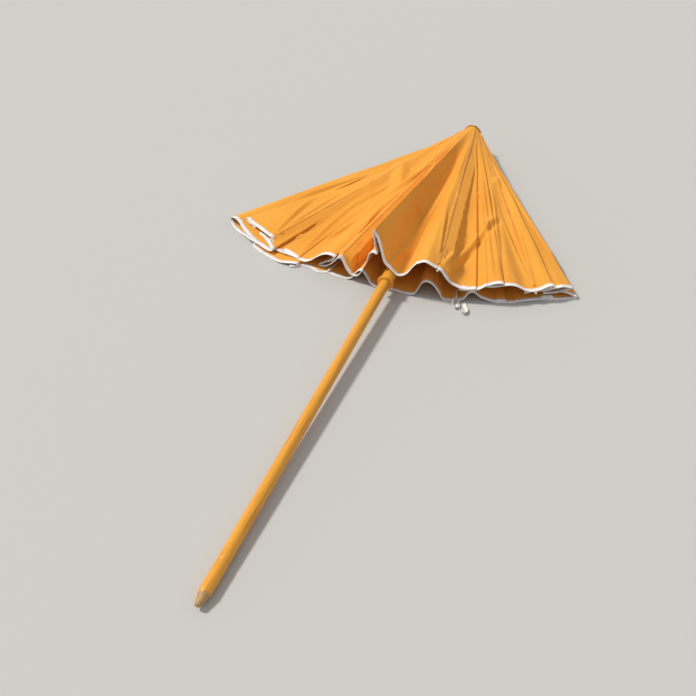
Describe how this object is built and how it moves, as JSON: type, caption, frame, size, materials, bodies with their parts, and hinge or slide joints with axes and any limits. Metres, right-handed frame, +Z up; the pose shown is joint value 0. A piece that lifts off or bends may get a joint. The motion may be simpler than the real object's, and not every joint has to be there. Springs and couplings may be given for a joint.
{
  "type": "beach umbrella",
  "caption": "Wooden-pole beach umbrella with a pointed ground spike, lying half folded: slotted crown, wire-hung steel ribs and stretchers, sliding runner and a panelled cloth canopy",
  "frame": {"origin": "centre of the lying umbrella's box, on the ground", "axes": "+Z up; +Y along the lying pole's plan line from the ground spike to the crown; +X to the right when seen from the spike"},
  "size_m": [0.9988, 1.9494, 0.1676],
  "materials": {
    "lacquered_wood": "clear orange lacquer over straight-grained beech, lightly worn",
    "spike_wood": "orange lacquer, worn to bare pale wood at the blunt point",
    "runner_wood": "lacquered turned wood",
    "canopy_cloth": "plain-weave cotton canvas, warm orange, white hem binding",
    "rib_steel": "white enamelled steel rod, slightly worn",
    "slider_metal": "zinc plated",
    "wire_and_screw": "galvanised wire and a plated screw",
    "ferrule": "off-white plastic tip"
  },
  "bodies": {
    "root": {"pole": "lacquered_wood", "ground_spike": "spike_wood", "crown_hub": "lacquered_wood", "crown_ring_wire": "wire_and_screw", "canopy_rosette": "canopy_cloth", "finial_cap": "lacquered_wood", "finial_screw": "wire_and_screw"},
    "runner": {"runner_sleeve": "runner_wood", "runner_ring_wire": "wire_and_screw"},
    "rib_1": {"rib_1": "rib_steel", "rib_tip_1": "ferrule"},
    "stretcher_1": {"stretcher_1": "rib_steel"},
    "rib_slider_1": {"rib_slider_1": "slider_metal"},
    "rib_2": {"rib_2": "rib_steel", "rib_tip_2": "ferrule"},
    "stretcher_2": {"stretcher_2": "rib_steel"},
    "rib_slider_2": {"rib_slider_2": "slider_metal"},
    "rib_3": {"rib_3": "rib_steel", "rib_tip_3": "ferrule"},
    "stretcher_3": {"stretcher_3": "rib_steel"},
    "rib_slider_3": {"rib_slider_3": "slider_metal"},
    "rib_4": {"rib_4": "rib_steel", "rib_tip_4": "ferrule"},
    "stretcher_4": {"stretcher_4": "rib_steel"},
    "rib_slider_4": {"rib_slider_4": "slider_metal"},
    "rib_5": {"rib_5": "rib_steel", "rib_tip_5": "ferrule"},
    "stretcher_5": {"stretcher_5": "rib_steel"},
    "rib_slider_5": {"rib_slider_5": "slider_metal"},
    "rib_6": {"rib_6": "rib_steel", "rib_tip_6": "ferrule"},
    "stretcher_6": {"stretcher_6": "rib_steel"},
    "rib_slider_6": {"rib_slider_6": "slider_metal"},
    "rib_7": {"rib_7": "rib_steel", "rib_tip_7": "ferrule"},
    "stretcher_7": {"stretcher_7": "rib_steel"},
    "rib_slider_7": {"rib_slider_7": "slider_metal"},
    "rib_8": {"rib_8": "rib_steel", "rib_tip_8": "ferrule"},
    "stretcher_8": {"stretcher_8": "rib_steel"},
    "rib_slider_8": {"rib_slider_8": "slider_metal"},
    "fold_1a": {"canopy_1a": "canopy_cloth"},
    "fold_1b": {"canopy_1b": "canopy_cloth"},
    "fold_2a": {"canopy_2a": "canopy_cloth"},
    "fold_2b": {"canopy_2b": "canopy_cloth"},
    "fold_3a": {"canopy_3a": "canopy_cloth"},
    "fold_3b": {"canopy_3b": "canopy_cloth"},
    "fold_4a": {"canopy_4a": "canopy_cloth"},
    "fold_4b": {"canopy_4b": "canopy_cloth"},
    "fold_5a": {"canopy_5a": "canopy_cloth"},
    "fold_5b": {"canopy_5b": "canopy_cloth"},
    "fold_6a": {"canopy_6a": "canopy_cloth"},
    "fold_6b": {"canopy_6b": "canopy_cloth"},
    "fold_7a": {"canopy_7a": "canopy_cloth"},
    "fold_7b": {"canopy_7b": "canopy_cloth"},
    "fold_8a": {"canopy_8a": "canopy_cloth"},
    "fold_8b": {"canopy_8b": "canopy_cloth"}
  },
  "joints": [
    {"name": "runner_slide", "type": "slide", "parent": "root", "child": "runner", "axis": [0, 0.9996, 0.0276], "range_m": [0, 0.409]},
    {"name": "rib_1_hinge", "type": "hinge", "parent": "root", "child": "rib_1", "pos_m": [0.00864, 0.94786, 0.05904], "axis": [0.4326, -0.2725, -0.8594], "range_deg": [0, 40.1]},
    {"name": "stretcher_1_hinge", "type": "hinge", "parent": "runner", "child": "stretcher_1", "pos_m": [0.00726, 0.24815, 0.03916], "axis": [-0.4901, -0.2842, 0.824], "range_deg": [0, 35.85]},
    {"name": "slider_1_slide", "type": "slide", "parent": "rib_1", "child": "rib_slider_1", "axis": [-0.6238, -0.7787, -0.0671], "range_m": [0, 0.02516]},
    {"name": "rib_2_hinge", "type": "hinge", "parent": "root", "child": "rib_2", "pos_m": [0.00864, 0.94745, 0.07396], "axis": [-0.4283, 0.2813, -0.8587], "range_deg": [0, 53.02]},
    {"name": "stretcher_2_hinge", "type": "hinge", "parent": "runner", "child": "stretcher_2", "pos_m": [0.00726, 0.2477, 0.05523], "axis": [0.4537, 0.1163, 0.8835], "range_deg": [0, 52.58]},
    {"name": "slider_2_slide", "type": "slide", "parent": "rib_2", "child": "rib_slider_2", "axis": [-0.4483, -0.8913, -0.0684], "range_m": [0, 0.13782]},
    {"name": "rib_3_hinge", "type": "hinge", "parent": "root", "child": "rib_3", "pos_m": [0.0192, 0.94716, 0.0845], "axis": [-0.9265, 0.1697, -0.3359], "range_deg": [0, 72.52]},
    {"name": "stretcher_3_hinge", "type": "hinge", "parent": "runner", "child": "stretcher_3", "pos_m": [0.01862, 0.24739, 0.06659], "axis": [0.94, 0.0586, 0.3361], "range_deg": [0, 65.3]},
    {"name": "slider_3_slide", "type": "slide", "parent": "rib_3", "child": "rib_slider_3", "axis": [-0.1701, -0.985, -0.0284], "range_m": [0, 0.17927]},
    {"name": "rib_4_hinge", "type": "hinge", "parent": "root", "child": "rib_4", "pos_m": [0.03412, 0.94716, 0.0845], "axis": [-0.928, -0.1387, 0.3459], "range_deg": [0, 71.13]},
    {"name": "stretcher_4_hinge", "type": "hinge", "parent": "runner", "child": "stretcher_4", "pos_m": [0.03469, 0.24739, 0.06659], "axis": [0.9384, -0.0411, -0.3431], "range_deg": [0, 64.56]},
    {"name": "slider_4_slide", "type": "slide", "parent": "rib_4", "child": "rib_slider_4", "axis": [0.1495, -0.9887, 0.0048], "range_m": [0, 0.18012]},
    {"name": "rib_5_hinge", "type": "hinge", "parent": "root", "child": "rib_5", "pos_m": [0.04467, 0.94745, 0.07396], "axis": [-0.4263, -0.2658, 0.8646], "range_deg": [0, 52.92]},
    {"name": "stretcher_5_hinge", "type": "hinge", "parent": "runner", "child": "stretcher_5", "pos_m": [0.04606, 0.2477, 0.05523], "axis": [0.4502, -0.1057, -0.8866], "range_deg": [0, 52.59]},
    {"name": "slider_5_slide", "type": "slide", "parent": "rib_5", "child": "rib_slider_5", "axis": [0.4439, -0.8943, -0.0561], "range_m": [0, 0.13925]},
    {"name": "rib_6_hinge", "type": "hinge", "parent": "root", "child": "rib_6", "pos_m": [0.04467, 0.94786, 0.05904], "axis": [0.4261, 0.2161, 0.8785], "range_deg": [0, 44.19]},
    {"name": "stretcher_6_hinge", "type": "hinge", "parent": "runner", "child": "stretcher_6", "pos_m": [0.04606, 0.24815, 0.03916], "axis": [-0.4589, 0.1803, -0.87], "range_deg": [0, 43.87]},
    {"name": "slider_6_slide", "type": "slide", "parent": "rib_6", "child": "rib_slider_6", "axis": [0.5579, -0.8272, -0.0671], "range_m": [0, 0.08945]},
    {"name": "rib_7_hinge", "type": "hinge", "parent": "root", "child": "rib_7", "pos_m": [0.03412, 0.94815, 0.04849], "axis": [0.9238, 0.1845, 0.3356], "range_deg": [0, 70.11]},
    {"name": "stretcher_7_hinge", "type": "hinge", "parent": "runner", "child": "stretcher_7", "pos_m": [0.03469, 0.24846, 0.0278], "axis": [-0.9414, 0.0962, -0.3232], "range_deg": [0, 63.91]},
    {"name": "slider_7_slide", "type": "slide", "parent": "rib_7", "child": "rib_slider_7", "axis": [0.2144, -0.9752, -0.0542], "range_m": [0, 0.17642]},
    {"name": "rib_8_hinge", "type": "hinge", "parent": "root", "child": "rib_8", "pos_m": [0.0192, 0.94815, 0.04849], "axis": [0.9238, -0.1845, -0.3356], "range_deg": [0, 70.11]},
    {"name": "stretcher_8_hinge", "type": "hinge", "parent": "runner", "child": "stretcher_8", "pos_m": [0.01862, 0.24846, 0.0278], "axis": [-0.9414, -0.0962, 0.3232], "range_deg": [0, 63.91]},
    {"name": "slider_8_slide", "type": "slide", "parent": "rib_8", "child": "rib_slider_8", "axis": [-0.2144, -0.9752, -0.0542], "range_m": [0, 0.17642]},
    {"name": "fold_1a_hinge", "type": "hinge", "parent": "rib_1", "child": "fold_1a", "pos_m": [0.00832, 0.94889, 0.06727], "axis": [-0.7316, -0.6794, 0.0556], "range_deg": [0, 94.75], "deforming": ["canopy_1a"]},
    {"name": "fold_1b_hinge", "type": "hinge", "parent": "rib_2", "child": "fold_1b", "pos_m": [0.00862, 0.94911, 0.06714], "axis": [-0.324, -0.9195, -0.2225], "range_deg": [0, 85.31], "deforming": ["canopy_1b"]},
    {"name": "fold_2a_hinge", "type": "hinge", "parent": "rib_2", "child": "fold_2a", "pos_m": [0.01168, 0.94676, 0.08414], "axis": [-0.5827, -0.8039, 0.1191], "range_deg": [0, 58.39], "deforming": ["canopy_2a"]},
    {"name": "fold_2b_hinge", "type": "hinge", "parent": "rib_3", "child": "fold_2b", "pos_m": [0.01745, 0.94635, 0.08654], "axis": [-0.0301, -0.9206, -0.3893], "range_deg": [0, 33.64], "deforming": ["canopy_2b"]},
    {"name": "fold_3a_hinge", "type": "hinge", "parent": "rib_3", "child": "fold_3a", "pos_m": [0.02815, 0.9483, 0.08353], "axis": [-0.0819, 0.9363, 0.3414], "range_deg": [0, 30.04], "deforming": ["canopy_3a"]},
    {"name": "fold_3b_hinge", "type": "hinge", "parent": "rib_4", "child": "fold_3b", "pos_m": [0.0262, 0.95093, 0.08516], "axis": [-0.2996, -0.4873, -0.8202], "range_deg": [0, 9.29], "deforming": ["canopy_3b"]},
    {"name": "fold_4a_hinge", "type": "hinge", "parent": "rib_4", "child": "fold_4a", "pos_m": [0.03585, 0.94624, 0.08642], "axis": [0.0253, 0.909, 0.416], "range_deg": [0, 28.23], "deforming": ["canopy_4a"]},
    {"name": "fold_4b_hinge", "type": "hinge", "parent": "rib_5", "child": "fold_4b", "pos_m": [0.0415, 0.94665, 0.08348], "axis": [-0.5758, 0.8082, -0.1235], "range_deg": [0, 56.27], "deforming": ["canopy_4b"]},
    {"name": "fold_5a_hinge", "type": "hinge", "parent": "rib_5", "child": "fold_5a", "pos_m": [0.04461, 0.94917, 0.06718], "axis": [-0.2822, 0.9294, 0.2378], "range_deg": [0, 79.78], "deforming": ["canopy_5a"]},
    {"name": "fold_5b_hinge", "type": "hinge", "parent": "rib_6", "child": "fold_5b", "pos_m": [0.04497, 0.94889, 0.06719], "axis": [-0.6928, 0.7182, -0.0651], "range_deg": [0, 92.19], "deforming": ["canopy_5b"]},
    {"name": "fold_6a_hinge", "type": "hinge", "parent": "rib_6", "child": "fold_6a", "pos_m": [0.04168, 0.94813, 0.04859], "axis": [0.6229, -0.7569, -0.1977], "range_deg": [0, 70.79], "deforming": ["canopy_6a"]},
    {"name": "fold_6b_hinge", "type": "hinge", "parent": "rib_7", "child": "fold_6b", "pos_m": [0.03764, 0.94824, 0.04662], "axis": [0.135, -0.9688, 0.2076], "range_deg": [0, 42.56], "deforming": ["canopy_6b"]},
    {"name": "fold_7a_hinge", "type": "hinge", "parent": "rib_7", "child": "fold_7a", "pos_m": [0.0344, 0.9482, 0.04859], "axis": [0.2806, -0.8666, -0.4126], "range_deg": [0, 25.39], "deforming": ["canopy_7a"]},
    {"name": "fold_7b_hinge", "type": "hinge", "parent": "rib_8", "child": "fold_7b", "pos_m": [0.01891, 0.9482, 0.04859], "axis": [0.2806, 0.8666, 0.4126], "range_deg": [0, 25.39], "deforming": ["canopy_7b"]},
    {"name": "fold_8a_hinge", "type": "hinge", "parent": "rib_8", "child": "fold_8a", "pos_m": [0.01449, 0.94847, 0.04554], "axis": [0.1549, 0.9777, -0.1418], "range_deg": [0, 41.1], "deforming": ["canopy_8a"]},
    {"name": "fold_8b_hinge", "type": "hinge", "parent": "rib_1", "child": "fold_8b", "pos_m": [0.01076, 0.94851, 0.04827], "axis": [0.6756, 0.7159, 0.1763], "range_deg": [0, 71.71], "deforming": ["canopy_8b"]}
  ],
  "couplings": [
    {"joint": "rib_1_hinge", "follows": "runner_slide", "rad_per_m": 1.7112},
    {"joint": "stretcher_1_hinge", "follows": "runner_slide", "rad_per_m": 1.5299},
    {"joint": "slider_1_slide", "follows": "runner_slide", "ratio": 0.061513},
    {"joint": "rib_2_hinge", "follows": "runner_slide", "rad_per_m": 2.2624},
    {"joint": "stretcher_2_hinge", "follows": "runner_slide", "rad_per_m": 2.2436},
    {"joint": "slider_2_slide", "follows": "runner_slide", "ratio": 0.33697},
    {"joint": "rib_3_hinge", "follows": "runner_slide", "rad_per_m": 3.0945},
    {"joint": "stretcher_3_hinge", "follows": "runner_slide", "rad_per_m": 2.7864},
    {"joint": "slider_3_slide", "follows": "runner_slide", "ratio": 0.43831},
    {"joint": "rib_4_hinge", "follows": "runner_slide", "rad_per_m": 3.0355},
    {"joint": "stretcher_4_hinge", "follows": "runner_slide", "rad_per_m": 2.7549},
    {"joint": "slider_4_slide", "follows": "runner_slide", "ratio": 0.44038},
    {"joint": "rib_5_hinge", "follows": "runner_slide", "rad_per_m": 2.2582},
    {"joint": "stretcher_5_hinge", "follows": "runner_slide", "rad_per_m": 2.2443},
    {"joint": "slider_5_slide", "follows": "runner_slide", "ratio": 0.34048},
    {"joint": "rib_6_hinge", "follows": "runner_slide", "rad_per_m": 1.8855},
    {"joint": "stretcher_6_hinge", "follows": "runner_slide", "rad_per_m": 1.8719},
    {"joint": "slider_6_slide", "follows": "runner_slide", "ratio": 0.21871},
    {"joint": "rib_7_hinge", "follows": "runner_slide", "rad_per_m": 2.9917},
    {"joint": "stretcher_7_hinge", "follows": "runner_slide", "rad_per_m": 2.7271},
    {"joint": "slider_7_slide", "follows": "runner_slide", "ratio": 0.43136},
    {"joint": "rib_8_hinge", "follows": "runner_slide", "rad_per_m": 2.9917},
    {"joint": "stretcher_8_hinge", "follows": "runner_slide", "rad_per_m": 2.7271},
    {"joint": "slider_8_slide", "follows": "runner_slide", "ratio": 0.43136},
    {"joint": "fold_1a_hinge", "follows": "runner_slide", "rad_per_m": 4.0434},
    {"joint": "fold_1b_hinge", "follows": "runner_slide", "rad_per_m": 3.6404},
    {"joint": "fold_2a_hinge", "follows": "runner_slide", "rad_per_m": 2.4919},
    {"joint": "fold_2b_hinge", "follows": "runner_slide", "rad_per_m": 1.4356},
    {"joint": "fold_3a_hinge", "follows": "runner_slide", "rad_per_m": 1.2817},
    {"joint": "fold_3b_hinge", "follows": "runner_slide", "rad_per_m": 0.39623},
    {"joint": "fold_4a_hinge", "follows": "runner_slide", "rad_per_m": 1.2044},
    {"joint": "fold_4b_hinge", "follows": "runner_slide", "rad_per_m": 2.4013},
    {"joint": "fold_5a_hinge", "follows": "runner_slide", "rad_per_m": 3.4044},
    {"joint": "fold_5b_hinge", "follows": "runner_slide", "rad_per_m": 3.9341},
    {"joint": "fold_6a_hinge", "follows": "runner_slide", "rad_per_m": 3.0207},
    {"joint": "fold_6b_hinge", "follows": "runner_slide", "rad_per_m": 1.8164},
    {"joint": "fold_7a_hinge", "follows": "runner_slide", "rad_per_m": 1.0835},
    {"joint": "fold_7b_hinge", "follows": "runner_slide", "rad_per_m": 1.0835},
    {"joint": "fold_8a_hinge", "follows": "runner_slide", "rad_per_m": 1.7537},
    {"joint": "fold_8b_hinge", "follows": "runner_slide", "rad_per_m": 3.0601}
  ]
}
